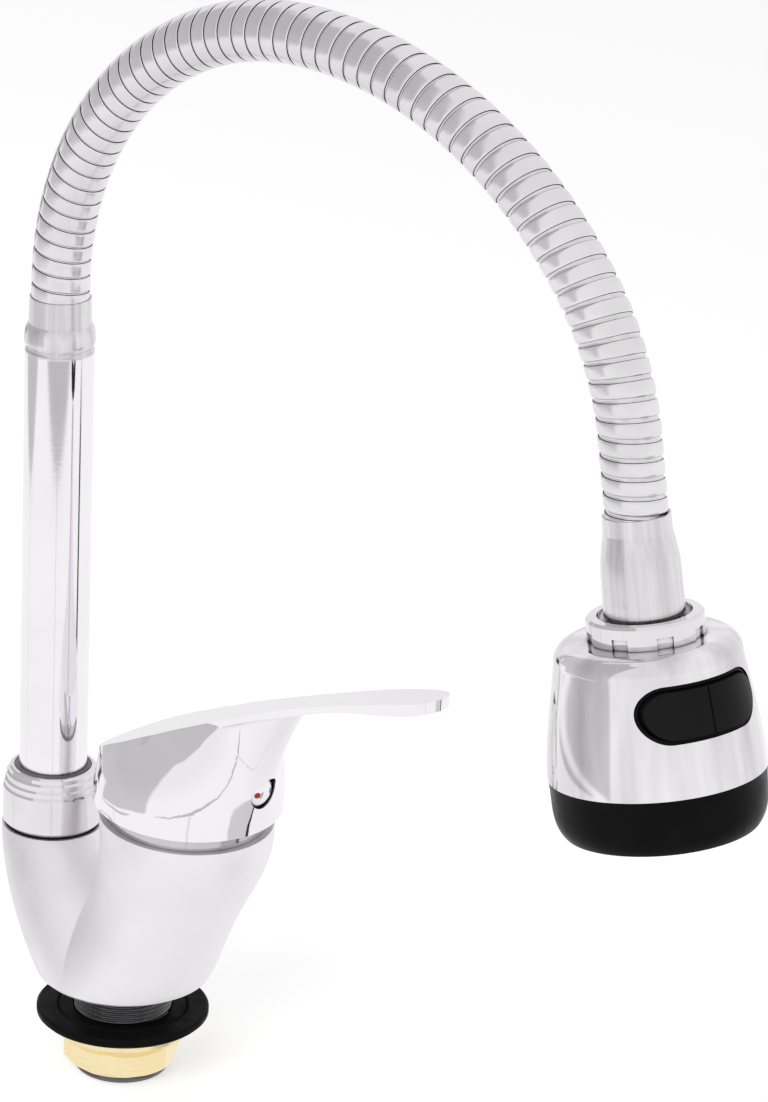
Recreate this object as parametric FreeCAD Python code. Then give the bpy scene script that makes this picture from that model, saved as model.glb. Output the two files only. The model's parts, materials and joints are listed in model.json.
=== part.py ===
import FreeCAD, Part
import math
import os

os.makedirs("parts", exist_ok=True)

# Flexible kitchen tap, in millimetres. The origin is the centre of the body's round base on the sink deck,
# +Z is up and +X points forwards, along the lever and towards the spray head.

V = FreeCAD.Vector
X_AXIS = V(1, 0, 0)
Y_AXIS = V(0, 1, 0)
Z_AXIS = V(0, 0, 1)

# Fits
running_gap = 0.05          # radial, between pieces that turn or slide on each other
seat_gap = 0.05             # between faces that stay together
loose_gap = 0.3             # where a flexible or pressed piece lies in its seat

# Layout of the two towers
spout_x = -33.3             # riser axis
lever_x = 25.6              # cartridge axis at the pivot's height
pivot_z = 58.0              # height of the lever's pivot pin
forward_tilt = 3.0          # the cartridge leans forwards by this many degrees

# Body casting
base_r = 27.6
base_chamfer = 1.2
rear_tower_z = 42.4
rear_tower_r = 16.4
front_tower_z = 63.8
front_tower_r = 27.9
tower_neck_r = 13.5         # threaded upstand for the spout collar
tower_neck_h = 9.6
spout_bore_r = 12.05
spout_bore_z = 36.0
cartridge_r = 17.5
cartridge_seat_z = 36.9
shank_socket_depth = 10.0
inlet_r = 4.5               # tapped M10 for the supply hoses
inlet_depth = 8.0
inlet_y = 7.5
waterway_r = 3.0
waterway_low = (-12.0, 22.0)   # x and z where the outlet way passes under the valley

# Base seal
base_seal_r = 23.0
base_seal_wire = 1.0
base_seal_drop = 0.45

# Shank, gasket and nut under the deck
shank_r = 16.0
shank_bore_r = 13.2
shank_drop = 33.5
gasket_top_z = -11.6
gasket_t = 3.0
gasket_r = 28.0
gasket_rim_w = 4.0
gasket_groove = 0.7
nut_flange_r = 23.2
nut_flange_t = 5.2
nut_flats = 34.0
nut_h = 15.8
nut_chamfer = 2.4
nut_taper_h = 3.0

# Cartridge, heights above the deck
cartridge_base_t = 2.9
cartridge_shoulder_z = 56.9
cartridge_neck_r = 13.4
cartridge_top_z = 62.5
cavity_r = 15.5
cavity_top_z = 51.9
disc_r = 14.5
fixed_disc_t = 2.4
moving_disc_r = 11.5
moving_disc_t = 2.4
holder_t = 4.5
port_r = 2.9
port_circle_r = 7.5
port_seal_r = 4.2
port_seal_t = 0.9
rotor_r = 11.0
rotor_flange_t = 1.4
rotor_slot_w = 6.2
rotor_slot_half = 7.8
pin_r = 1.5
pin_half = 10.0
stem_w = 6.0
stem_d = 8.0
stem_top_z = 88.0
stem_foot_r = 2.4
stem_foot_drop = 9.2        # from the pivot down to the foot's centre
cartridge_nut_r = 20.0
cartridge_nut_rise = 2.7

# Cover dome
dome_neck_r = 25.8
dome_neck_top_z = 69.0
dome_wall = 1.6
dome_flat_z = 75.0
dome_opening_r = 15.6

# Lever handle
skirt_z = 69.5
skirt_r = 30.3
skirt_wall = 2.4
skirt_roof = 3.2
hollow_ball_r = 34.0          # ceiling of the hollow, about the pivot
skirt_levels = (69.5, 73.0, 77.0, 82.0, 88.0, 94.0, 100.0, 106.0, 112.0, 118.0, 124.0)
skirt_top = ((-3.4, 9.0), (1.0, 15.6), (7.0, 16.9), (15.0, 16.5), (25.6, 15.4), (36.0, 13.8), (45.0, 11.6),
             (53.0, 9.2), (60.0, 7.6), (66.0, 6.2), (70.5, 3.6))    # x and half width of its sloping top
skirt_back_x = -5.0
skirt_front_x = 72.0
skirt_side_power = 2.4      # how late a flank leaves the upright: at the sides and back
skirt_front_power = 3.2     # towards the front
skirt_flare_power = 1.8     # and under the lever, where it flares out
lever_tip_x = 124.2
lever_tip_z = 141.0
lever_back_x = -8.0
lever_back_z = 78.9
lever_start_x = 36.0
lever_half_w = 8.7
lever_edge_t = 3.8
lever_waist_t = 2.1
boss_wall = 2.4
boss_bottom_z = 69.0
boss_top_z = 112.0
plug_z = 83.5
plug_r = 5.4
plug_spigot_r = 3.9
plug_dome_h = 2.2
grub_r = 2.5
dot_r = 0.95
dot_y = 3.0

# Spout collar, bush and riser
collar_r = 16.1
collar_top_z = 62.6
collar_step_h = 2.3
collar_step_in = 0.9
collar_ring_h = 2.6
collar_seal_h = 0.8
collar_o_ring_r = 12.5
bush_flange_t = 1.5
riser_r = 11.0
riser_wall = 1.4
riser_top_z = 204.0
foot_h = 9.0
foot_lift = 0.3
foot_low = spout_bore_z + foot_lift
foot_bore_r = 6.0
foot_spigot_h = 10.0
foot_groove_r = 10.2
foot_groove_h = 2.0
foot_ring_rise = (2.6, 6.4)    # centres of the two O-rings above the foot's bottom

# Gooseneck: centre line from the lower ferrule's mouth to the upper one's
hose_start_z = 222.0
lead_in = 4.2
rise_arc_r = 99.6
rise_arc_deg = 86.3
crown_arc_r = 133.0
crown_arc_deg = 55.6
fall_arc_r = 91.8
fall_arc_deg = 27.9
lead_out = 21.4
hose_cuff = 8.0
hose_sections = 7
turns_per_section = 9
winding_r = 9.25
winding_share = 0.67        # of the pitch that the raised band takes
winding_neck_r = 8.8
hose_bore_r = 6.9
socket_r = 8.6
tail_neck_r = 8.0
tail_reach = 1.2
inner_hose_r = 6.6
inner_hose_bore_r = 4.6
inner_hose_gap = 1.2

# Ferrules at the gooseneck's ends
ferrule_mouth_r = 9.9
ferrule_bulge_r = 11.2
ferrule_groove_r = 10.4
ferrule_spigot_h = 14.0
upper_ferrule_r = 11.8
upper_ferrule_l = 30.5
ferrule_floor = 20.0
ball_spigot_r = 6.0

# Swivel joint, in the spray head's own frame: its origin is the ball's centre and its Z runs up the ferrule
ball_to_mouth = 40.0
ball_r = 9.5
ball_neck_r = 6.5
ball_bore_r = 4.0
seat_r = 13.0
seat_top_z = 5.4
seat_bottom_z = -7.4
ball_foot_z = -5.5

# Ring nut
ring_nut_r = 17.1
ring_nut_top_z = 11.0
ring_nut_bore_r = 13.8
ring_nut_lip_r = 11.0
ring_nut_lip_top_z = 7.0
ring_nut_spigot_r = 15.5
ring_nut_spigot_z = -2.0
ring_nut_notches = 8
ring_nut_notch_w = 5.0
ring_nut_notch_h = 3.4
ring_nut_notch_in = 0.8

# Spray head shell and core
shoulder_z = 4.0
shoulder_r = 21.5
shoulder_arc_r = 5.8
shell_waist = ((28.6, -10.0), (30.7, -23.0))
shell_hem_r = 31.9
shell_hem_z = -36.0
shell_wall = 2.2
core_r = 20.5
core_flange_r = 29.3
core_flange_t = 2.4
core_flat_x = 14.6
water_bore_r = 5.0
outlet_bore_r = 4.0
side_port_r = 2.0
side_port_circle_r = 13.0
side_ports = 4

# Face ring and spray plate
face_ring_z = -53.0
face_ring_foot_r = 28.4
face_ring_knee = ((31.3, -43.0), (30.4, -49.5))
face_ring_wall = 2.4
face_ring_ledge = 1.4
plate_t = 2.2
plate_recess = 1.6
mat_t = 1.2
nozzle_rows = ((14.5, 14), (18.5, 18), (22.5, 22))
nozzle_r = 1.0
nozzle_tip_r = 0.6
nozzle_rise = 0.8
nozzle_hole_gap = 0.15
aerator_r = 9.2
aerator_wall = 1.2
aerator_lip = 1.0
mesh_t = 0.8

# Selector
selector_deg = -17.0        # round the head from straight ahead, towards the right-hand side
selector_z = -12.0
window_half_l = 20.3
window_half_h = 8.25
bezel_wall = 1.1
bezel_sink = 0.5
bezel_back_x = 15.6
bezel_back_t = 1.4
rocker_gap = 0.4
rocker_x = 20.0             # rocker's hinge, out from the head's axis
rocker_back_x = 19.4
rocker_proud = 0.9
trunnion_r = 1.2
trunnion_reach = 0.8
peg_r = 1.2
peg_tip_x = 8.6
spool_x = 10.0
spool_r = 3.0
spool_half = 12.0
spool_window_r = 1.7


# Shape helpers

def cylinder(radius, low, high, x=0.0, y=0.0):
    return Part.makeCylinder(radius, high - low, V(x, y, low), Z_AXIS)


def tube(outer, inner, low, high, x=0.0):
    return cylinder(outer, low, high, x).cut(cylinder(inner, low, high, x))


def rod(start, end, radius):
    """Round bar between two points."""
    return Part.makeCylinder(radius, (end - start).Length, start, end - start)


def block(x_low, x_high, y_half, z_low, z_high):
    return Part.makeBox(x_high - x_low, 2 * y_half, z_high - z_low, V(x_low, -y_half, z_low))


def torus(ring_r, wire_r, z, x=0.0):
    return Part.makeTorus(ring_r, wire_r, V(x, 0, z), Z_AXIS)


def fuse(pieces):
    return pieces[0].multiFuse(pieces[1:]).removeSplitter() if len(pieces) > 1 else pieces[0]


def spline(points):
    """Smooth edge through (x, z) points in the plane y = 0."""
    curve = Part.BSplineCurve()
    curve.interpolate([V(x, 0, z) for x, z in points])
    return curve.toShape()


def line(start, end):
    return Part.makeLine(V(start[0], 0, start[1]), V(end[0], 0, end[1]))


def arc(start, middle, end):
    return Part.Arc(*[V(x, 0, z) for x, z in (start, middle, end)]).toShape()


def turned(edges, x=0.0):
    """Solid turned about the vertical axis at x from the edges of its half outline, which start and end on it."""
    face = Part.Face(Part.Wire(Part.__sortEdges__(edges)))
    return face.revolve(V(x, 0, 0), Z_AXIS, 360)


def lathe(corners, x=0.0):
    """Solid turned about the vertical axis at x, from (radius, height) corners."""
    shifted = [(x + radius, height) for radius, height in corners]
    return turned([line(a, b) for a, b in zip(shifted, shifted[1:] + shifted[:1])], x)


def circle_of(solid, count, start_deg=0.0):
    """Copies of a solid, evenly spaced round the Z axis."""
    copies = []
    for index in range(count):
        copy = solid.copy()
        copy.rotate(V(0, 0, 0), Z_AXIS, start_deg + index * 360.0 / count)
        copies.append(copy)
    return copies


# Frames of the tilted cartridge and of the spray head

def tilted(shape):
    """Lean a shape forwards about the lever's pivot."""
    copy = shape.copy()
    copy.rotate(V(lever_x, 0, pivot_z), Y_AXIS, forward_tilt)
    return copy


class Span:
    """A stretch of the gooseneck's centre line, straight or bent forwards and down, from length start to end."""

    def __init__(self, start, length, x, z, heading, radius=None):
        self.start, self.end = start, start + length
        self.x, self.z, self.heading, self.radius = x, z, heading, radius

    def centre(self):
        return (self.x + self.radius * math.sin(self.heading), self.z - self.radius * math.cos(self.heading))

    def at(self, s):
        """Point and heading at length s."""
        if self.radius is None:
            run = s - self.start
            return self.x + run * math.cos(self.heading), self.z + run * math.sin(self.heading), self.heading
        heading = self.heading - (s - self.start) / self.radius
        x, z = self.centre()
        return x - self.radius * math.sin(heading), z + self.radius * math.cos(heading), heading

    def sleeve(self, outer, inner, low, high):
        """Tube along the span between two lengths; inner 0 makes it solid."""
        x, z, heading = self.at(low)
        here, ahead = V(x, 0, z), V(math.cos(heading), 0, math.sin(heading))
        face = Part.Face(Part.Wire(Part.Circle(here, ahead, outer).toShape()))
        if inner:
            face = face.cut(Part.Face(Part.Wire(Part.Circle(here, ahead, inner).toShape())))
        if self.radius is None:
            return face.extrude(ahead * (high - low)).Solids[0]
        x, z = self.centre()
        return face.revolve(V(x, 0, z), Y_AXIS, math.degrees((high - low) / self.radius)).Solids[0]


def centre_line():
    """The gooseneck's spans; length 0 is the lower ferrule's mouth."""
    bends = ((rise_arc_r, rise_arc_deg), (crown_arc_r, crown_arc_deg), (fall_arc_r, fall_arc_deg))
    spans = [Span(-hose_cuff, hose_cuff + lead_in, spout_x, hose_start_z - hose_cuff, math.radians(90))]
    for radius, degrees in bends:
        before = spans[-1]
        spans.append(Span(before.end, radius * math.radians(degrees), *before.at(before.end), radius))
    before = spans[-1]
    spans.append(Span(before.end, lead_out + hose_cuff, *before.at(before.end)))
    return spans


SPANS = centre_line()
HOSE_LENGTH = SPANS[-1].end - hose_cuff
TURNS = hose_sections * turns_per_section
PITCH = HOSE_LENGTH / TURNS


def hose_at(s):
    span = [each for each in SPANS if each.start <= s][-1]
    return span.at(s)


def hose_tube(outer, inner, low, high):
    """Tube that follows the gooseneck from length low to high."""
    pieces = []
    for span in SPANS:
        start, end = max(low, span.start), min(high, span.end)
        if end - start > 1e-6:
            pieces.append(span.sleeve(outer, inner, start, end))
    return fuse(pieces)


def flex_centre(section):
    """Length of the hinge at the start of a section: the middle of its first turn."""
    return (section * turns_per_section + 0.5) * PITCH


MOUTH_X, MOUTH_Z, HEAD_HEADING = hose_at(HOSE_LENGTH)
BALL = V(MOUTH_X + ball_to_mouth * math.cos(HEAD_HEADING), 0, MOUTH_Z + ball_to_mouth * math.sin(HEAD_HEADING))
HEAD_LEAN = math.degrees(math.atan2(-math.cos(HEAD_HEADING), -math.sin(HEAD_HEADING)))


def on_head(shape):
    """Carry a shape from the spray head's frame to the row's."""
    copy = shape.copy()
    copy.rotate(V(0, 0, 0), Y_AXIS, HEAD_LEAN)
    copy.translate(BALL)
    return copy


def at_selector(shape):
    """Carry a shape made on the head's +X side round to the selector, then to the row's frame."""
    copy = shape.copy()
    copy.rotate(V(0, 0, 0), Z_AXIS, selector_deg)
    return on_head(copy)


# Body casting and what is fixed to it

def ring(x, z, radius, tilt=False):
    wire = Part.Wire(Part.Circle(V(x, 0, z), Z_AXIS, radius).toShape())
    return tilted(wire) if tilt else wire


def rear_tower():
    rings = [ring(0, 0, base_r),
             ring(spout_x * 0.33, rear_tower_z * 0.33, base_r * 0.955),
             ring(spout_x * 0.67, rear_tower_z * 0.67, base_r * 0.82),
             ring(spout_x, rear_tower_z, rear_tower_r)]
    return Part.makeLoft(rings, True, False)


def front_tower():
    rings = [ring(0.2, 0, base_r - 0.15),
             ring(lever_x * 0.42, front_tower_z * 0.29, base_r * 0.938),
             ring(lever_x * 0.80, front_tower_z * 0.57, base_r * 0.906),
             ring(lever_x, front_tower_z * 0.80, front_tower_r * 0.963, True),
             ring(lever_x, front_tower_z, front_tower_r, True)]
    return Part.makeLoft(rings, True, False)


def base_round():
    """Keeps the towers inside the base's chamfer."""
    return lathe([(0, 0), (base_r - base_chamfer, 0), (base_r, base_chamfer), (base_r * 3, base_chamfer * 2),
                  (base_r * 3, front_tower_z * 1.2), (0, front_tower_z * 1.2)])


def port_places():
    """Centres of the cartridge's three ports: cold, hot and mixed."""
    side = port_circle_r * math.cos(math.radians(30))
    back = port_circle_r * math.sin(math.radians(30))
    return ((lever_x + back, side), (lever_x + back, -side), (lever_x - port_circle_r, 0))


def mixer_body():
    body = rear_tower().fuse(front_tower()).common(base_round())
    body = body.fuse(cylinder(tower_neck_r, rear_tower_z - 2, rear_tower_z + tower_neck_h, spout_x))
    cuts = [cylinder(spout_bore_r, spout_bore_z, rear_tower_z + tower_neck_h, spout_x),
            tilted(cylinder(cartridge_r + seat_gap, cartridge_seat_z, front_tower_z + 5, lever_x)),
            tilted(cylinder(cartridge_nut_r + seat_gap, cartridge_shoulder_z, front_tower_z + 5, lever_x)),
            cylinder(shank_r + seat_gap, -1, shank_socket_depth),
            tube(base_seal_r + base_seal_wire + loose_gap, base_seal_r - base_seal_wire - loose_gap,
                 -1, 2 * base_seal_wire - base_seal_drop + loose_gap)]
    seat = [tilted(Part.Vertex(V(x, y, cartridge_seat_z))).Point for x, y in port_places()]
    for side, port in ((1, seat[0]), (-1, seat[1])):
        inlet = V(0, side * inlet_y, shank_socket_depth)
        cuts.append(cylinder(inlet_r, inlet.z, inlet.z + inlet_depth, inlet.x, inlet.y))
        cuts.append(rod(inlet + V(0, 0, inlet_depth - 1), port + V(0, 0, 1), waterway_r))
    dip = V(waterway_low[0], 0, waterway_low[1])
    cuts.append(rod(dip, seat[2] + V(0, 0, 1), waterway_r))
    cuts.append(rod(dip, V(spout_x + waterway_r, 0, spout_bore_z + 1), waterway_r))
    cuts.append(Part.makeSphere(waterway_r, dip))
    return body.cut(fuse(cuts)).removeSplitter()


def base_seal():
    return torus(base_seal_r, base_seal_wire, base_seal_wire - base_seal_drop)


def threaded_shank():
    return tube(shank_r, shank_bore_r, -shank_drop, shank_socket_depth - seat_gap)


def deck_gasket():
    """Rubber washer with a raised rim round its hole, a groove outside that and a soft outer edge."""
    hole_r = shank_r + loose_gap
    top, bottom = gasket_top_z, gasket_top_z - gasket_t
    lip = gasket_t / 4
    rim_r = hole_r + gasket_rim_w
    return lathe([(hole_r, bottom), (gasket_r - lip, bottom), (gasket_r, bottom + lip), (gasket_r, top - lip),
                  (gasket_r - lip, top), (rim_r + 2 * gasket_groove, top), (rim_r + gasket_groove, top - gasket_groove),
                  (rim_r, top), (hole_r, top)])


def fixing_nut():
    top = gasket_top_z - gasket_t
    step_z, bottom = top - nut_flange_t, top - nut_h
    corner_r = nut_flats / math.sqrt(3)
    corners = [V(corner_r * math.cos(math.radians(60 * k)), corner_r * math.sin(math.radians(60 * k)), bottom)
               for k in range(7)]
    hexagon = Part.Face(Part.makePolygon(corners)).extrude(V(0, 0, step_z - bottom))
    rounding = lathe([(0, bottom), (corner_r - nut_chamfer, bottom), (corner_r, bottom + nut_chamfer),
                      (corner_r, step_z), (0, step_z)])
    edge = 0.8
    flange = lathe([(0, step_z - nut_taper_h), (nut_flats / 2 + edge, step_z - nut_taper_h),
                    (nut_flange_r - 2 * edge, step_z), (nut_flange_r, step_z + 2 * edge),
                    (nut_flange_r, top - edge), (nut_flange_r - edge, top), (0, top)])
    nut = hexagon.common(rounding).fuse(flange)
    return nut.cut(cylinder(shank_r + seat_gap, bottom - 1, top + 1)).removeSplitter()


# Cartridge

def disc_levels():
    """Bottoms of the fixed disc, the moving disc and the holder, and the holder's top."""
    fixed = cartridge_seat_z + seat_gap + cartridge_base_t + seat_gap
    moving = fixed + fixed_disc_t + seat_gap
    holder = moving + moving_disc_t
    return fixed, moving, holder, holder + holder_t


def with_ports(disc, low, high, radius):
    for x, y in port_places():
        disc = disc.cut(cylinder(radius, low - 1, high + 1, x, y))
    return disc


def cartridge_base():
    low = cartridge_seat_z + seat_gap
    high = low + cartridge_base_t
    disc = with_ports(cylinder(cartridge_r, low, high, lever_x), low, high, port_r)
    return tilted(with_ports(disc, low - 1.5, low - 1 + port_seal_t, port_seal_r + seat_gap))


def cartridge_seals():
    low = cartridge_seat_z + seat_gap
    rings = []
    for x, y in port_places():
        outer = cylinder(port_seal_r, low, low + port_seal_t - seat_gap, x, y)
        rings.append(tilted(outer.cut(cylinder(port_r, low - 1, low + 2, x, y))))
    return Part.makeCompound(rings)


def cartridge_housing():
    low = cartridge_seat_z + 2 * seat_gap + cartridge_base_t
    bore_r = rotor_r + running_gap
    return tilted(lathe([(cavity_r, low), (cartridge_r, low), (cartridge_r, cartridge_shoulder_z),
                         (cartridge_neck_r, cartridge_shoulder_z), (cartridge_neck_r, cartridge_top_z),
                         (bore_r, cartridge_top_z), (bore_r, cavity_top_z), (cavity_r, cavity_top_z)], lever_x))


def fixed_disc():
    low = disc_levels()[0]
    high = low + fixed_disc_t
    return tilted(with_ports(cylinder(disc_r, low, high, lever_x), low, high, port_r))


def moving_disc():
    low = disc_levels()[1]
    disc = cylinder(moving_disc_r, low, low + moving_disc_t, lever_x)
    recess = block(lever_x - 8, lever_x + 3, 4.5, low - 1, low + moving_disc_t / 2)
    return tilted(disc.cut(recess))


def disc_holder():
    low, high = disc_levels()[2:]
    foot_z = pivot_z - stem_foot_drop
    socket = block(lever_x - stem_foot_r - loose_gap, lever_x + stem_foot_r + loose_gap, stem_w / 2 + loose_gap,
                   foot_z - stem_foot_r - loose_gap, high + 1)
    return tilted(cylinder(moving_disc_r, low, high, lever_x).cut(socket))


def rotor():
    flange_top = cavity_top_z - seat_gap
    flange_low = flange_top - rotor_flange_t
    turned_part = lathe([(0, flange_low), (cavity_r - 0.2, flange_low), (cavity_r - 0.2, flange_top),
                         (rotor_r, flange_top), (rotor_r, cartridge_top_z), (0, cartridge_top_z)], lever_x)
    slot = block(lever_x - rotor_slot_half, lever_x + rotor_slot_half, rotor_slot_w / 2,
                 flange_low - 1, cartridge_top_z + 1)
    hole = rod(V(lever_x, -rotor_r - 1, pivot_z), V(lever_x, rotor_r + 1, pivot_z), pin_r + 0.01)
    return tilted(turned_part.cut(slot).cut(hole))


def pivot_pin():
    return tilted(rod(V(lever_x, -pin_half, pivot_z), V(lever_x, pin_half, pivot_z), pin_r))


def cartridge_stem():
    foot_z = pivot_z - stem_foot_drop
    half = stem_w / 2
    foot = rod(V(lever_x, -half, foot_z), V(lever_x, half, foot_z), stem_foot_r)
    shin = block(lever_x - stem_foot_r * 0.75, lever_x + stem_foot_r * 0.75, half, foot_z, pivot_z)
    knee = rod(V(lever_x, -half, pivot_z), V(lever_x, half, pivot_z), stem_d / 2)
    bar = block(lever_x - stem_d / 2, lever_x + stem_d / 2, half, pivot_z, stem_top_z)
    hole = rod(V(lever_x, -half - 1, pivot_z), V(lever_x, half + 1, pivot_z), pin_r + running_gap)
    return tilted(fuse([foot, shin, knee, bar]).cut(hole))


def cartridge_nut():
    low, top = cartridge_shoulder_z + seat_gap, front_tower_z + cartridge_nut_rise
    hole_r = cartridge_neck_r + seat_gap
    nut = tube(cartridge_nut_r, hole_r, low, top, lever_x)
    spanner_slot = block(-cartridge_nut_r - 1, cartridge_nut_r + 1, 1.5, top - 2.0, top + 1)
    spanner_slot.translate(V(lever_x, 0, 0))
    crossed = spanner_slot.copy()
    crossed.rotate(V(lever_x, 0, 0), Z_AXIS, 90)
    return tilted(nut.cut(spanner_slot).cut(crossed))


def cover_dome():
    """Cap between the body and the handle: a ball about the pivot, so that the lifted skirt clears it."""
    low = front_tower_z + seat_gap
    ball = math.hypot(dome_neck_r, dome_neck_top_z - pivot_z)
    inner_ball = ball - dome_wall
    inner_neck_r = cartridge_nut_r + seat_gap
    cap = cylinder(dome_neck_r, low, dome_neck_top_z, lever_x)
    cap = cap.fuse(Part.makeSphere(ball, V(lever_x, 0, pivot_z)).common(
        cylinder(ball, dome_neck_top_z, dome_flat_z, lever_x)))
    hollow = Part.makeSphere(inner_ball, V(lever_x, 0, pivot_z)).common(
        cylinder(ball, front_tower_z + cartridge_nut_rise + 1, dome_flat_z - dome_wall, lever_x))
    cap = cap.cut(hollow).cut(cylinder(inner_neck_r, low - 1, dome_neck_top_z, lever_x))
    return tilted(cap.cut(cylinder(dome_opening_r, dome_neck_top_z - 1, dome_flat_z + 1, lever_x)).removeSplitter())


# Lever handle

def lever_top_points(drop=0.0):
    """Ridge line of the handle in side view, from behind the skirt to the lever's tip."""
    share = ((0.0, 0.0), (0.25, 0.29), (0.47, 0.535), (0.753, 0.808), (1.0, 1.0))
    run, rise = lever_tip_x - lever_back_x, lever_tip_z - lever_back_z
    return [(lever_back_x + a * run, lever_back_z + b * rise - drop) for a, b in share]


def ridge_height(x):
    """Height of the ridge line, straight between its points."""
    points = lever_top_points()
    for (x0, z0), (x1, z1) in zip(points, points[1:]):
        if x <= x1:
            return z0 + (z1 - z0) * (x - x0) / (x1 - x0)
    return points[-1][1]


def lever_side():
    """Side view of the blade without its top: thin behind, thicker at the tip."""
    share = ((0.0, 0.45), (0.25, 0.1), (0.45, 0.0), (0.62, 0.1), (0.82, 0.7), (1.0, 1.0))
    reach, grow = lever_tip_x - lever_start_x, lever_edge_t - lever_waist_t
    under = [(lever_start_x + a * reach, ridge_height(lever_start_x + a * reach) - lever_waist_t - b * grow)
             for a, b in share]
    high = lever_tip_z + skirt_r
    corners = [under[-1], (lever_tip_x, high), (lever_start_x, high), under[0]]
    edges = [spline(under)] + [line(a, b) for a, b in zip(corners, corners[1:])]
    side = Part.Face(Part.Wire(Part.__sortEdges__(edges)))
    side.translate(V(0, -2 * skirt_r, 0))
    return side.extrude(V(0, 4 * skirt_r, 0))


def lever_plan():
    """Top view of the blade: it narrows from the skirt, widens a little and ends in a rounded nose."""
    reach = lever_tip_x - lever_start_x
    half = [(0.0, 1.5), (0.10, 1.39), (0.20, 1.20), (0.32, 1.04), (0.46, 0.98), (0.66, 1.03), (0.84, 1.0),
            (0.94, 0.82), (0.985, 0.48)]
    upper = [(lever_start_x + a * reach, w * lever_half_w) for a, w in half]
    around = upper + [(lever_tip_x, 0.0)] + [(x, -w) for x, w in reversed(upper)]
    curve = Part.BSplineCurve()
    curve.interpolate([V(x, y, 0) for x, y in around])
    start, end = V(upper[0][0], upper[0][1], 0), V(upper[0][0], -upper[0][1], 0)
    face = Part.Face(Part.Wire([curve.toShape(), Part.makeLine(end, start)]))
    face.translate(V(0, 0, skirt_z))
    return face.extrude(V(0, 0, lever_tip_z))


def eased(rise):
    """Height share that levels out above the ridge, so that the cut-off part of the skirt stays calm."""
    return rise if rise < 1 else 1 + (rise - 1) / (1 + 4 * (rise - 1))


def skirt_ring(z, inset):
    """Level outline of the skirt: round at its hem, leaning towards its narrower top."""
    half = [(skirt_back_x, 0.0)] + list(skirt_top) + [(skirt_front_x, 0.0)]
    points = []
    for x, w in half + [(x, -w) for x, w in reversed(skirt_top)]:
        angle = math.atan2(w, x - lever_x)
        share = (1 + math.cos(angle)) / 2
        power = skirt_side_power + (skirt_front_power - skirt_side_power) * share
        lean = math.hypot(x - lever_x, w) - skirt_r
        if lean > 0:
            power = skirt_flare_power
        rise = eased(max(0.0, z - skirt_z) / (ridge_height(x) - skirt_z))
        reach = max(skirt_r + lean * rise ** power, skirt_r / 4) - inset
        points.append(V(lever_x + reach * math.cos(angle), reach * math.sin(angle), z))
    curve = Part.BSplineCurve()
    curve.interpolate(points, PeriodicFlag=True)
    return Part.Wire(curve.toShape())


def skirt(inset=0.0):
    return Part.makeLoft([skirt_ring(z, inset) for z in skirt_levels], True, False)


def below_ridge(drop):
    """Everything under the handle's ridge line, lowered by drop."""
    top = lever_top_points(drop)
    low = skirt_z - 10
    edges = [spline(top), line(top[-1], (lever_tip_x, low)), line((lever_tip_x, low), (lever_back_x, low)),
             line((lever_back_x, low), top[0])]
    face = Part.Face(Part.Wire(Part.__sortEdges__(edges)))
    face.translate(V(0, -2 * skirt_r, 0))
    return face.extrude(V(0, 4 * skirt_r, 0))


def handle():
    blade = lever_side().common(lever_plan())
    outside = skirt().fuse(blade).common(below_ridge(0.0)).removeSplitter().Solids[0]
    hollow = cylinder(skirt_r - skirt_wall, skirt_z - 1, lever_tip_z, lever_x)
    hollow = hollow.common(Part.makeSphere(hollow_ball_r, V(lever_x, 0, pivot_z))).common(below_ridge(skirt_roof))
    shell = outside.cut(hollow)
    boss = block(lever_x - stem_d / 2 - boss_wall, lever_x + stem_d / 2 + boss_wall, stem_w / 2 + boss_wall,
                 boss_bottom_z, boss_top_z)
    duct = rod(V(lever_x, 0, plug_z), V(lever_x + skirt_r - skirt_wall / 2, 0, plug_z), plug_r)
    shell = shell.fuse(boss.fuse(duct).common(below_ridge(skirt_roof / 2)))
    socket = block(lever_x - stem_d / 2 - seat_gap, lever_x + stem_d / 2 + seat_gap, stem_w / 2 + seat_gap,
                   boss_bottom_z - 1, stem_top_z + seat_gap)
    grub_hole = rod(V(lever_x, 0, plug_z), V(lever_x + skirt_r * 2, 0, plug_z), grub_r + seat_gap)
    plug_face_x = lever_x + skirt_r - plug_seat_sink()
    spigot_hole = rod(V(plug_face_x - 4, 0, plug_z), V(lever_x + skirt_r * 2, 0, plug_z), plug_spigot_r + seat_gap)
    flat = rod(V(plug_face_x, 0, plug_z), V(lever_x + skirt_r + 3, 0, plug_z), plug_r + seat_gap)
    return tilted(shell.cut(fuse([socket, grub_hole, spigot_hole, flat])).removeSplitter())


def plug_seat_sink():
    """How far in from the skirt's round the plug's flat seat lies, so that its whole rim is backed."""
    return skirt_r - math.sqrt(skirt_r ** 2 - plug_r ** 2) + 0.25


def set_screw():
    start = lever_x + stem_d / 2 + 2 * seat_gap
    screw = rod(V(start, 0, plug_z), V(start + 9, 0, plug_z), grub_r)
    key = rod(V(start + 6.5, 0, plug_z), V(start + 10, 0, plug_z), grub_r * 0.5)
    return tilted(screw.cut(key))


def plug_dome_radius():
    return (plug_r ** 2 + plug_dome_h ** 2) / (2 * plug_dome_h)


def index_plug():
    face_x = lever_x + skirt_r - plug_seat_sink() + seat_gap
    dome_r = plug_dome_radius()
    ball = Part.makeSphere(dome_r, V(face_x + plug_dome_h - dome_r, 0, plug_z))
    head = ball.common(rod(V(face_x, 0, plug_z), V(face_x + plug_dome_h, 0, plug_z), plug_r))
    spigot = rod(V(face_x - 3.5, 0, plug_z), V(face_x, 0, plug_z), plug_spigot_r)
    plug = head.fuse(spigot)
    for side in (-1, 1):
        plug = plug.cut(dot_rod(side, dot_r + 0.02))
    return tilted(plug.removeSplitter())


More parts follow.
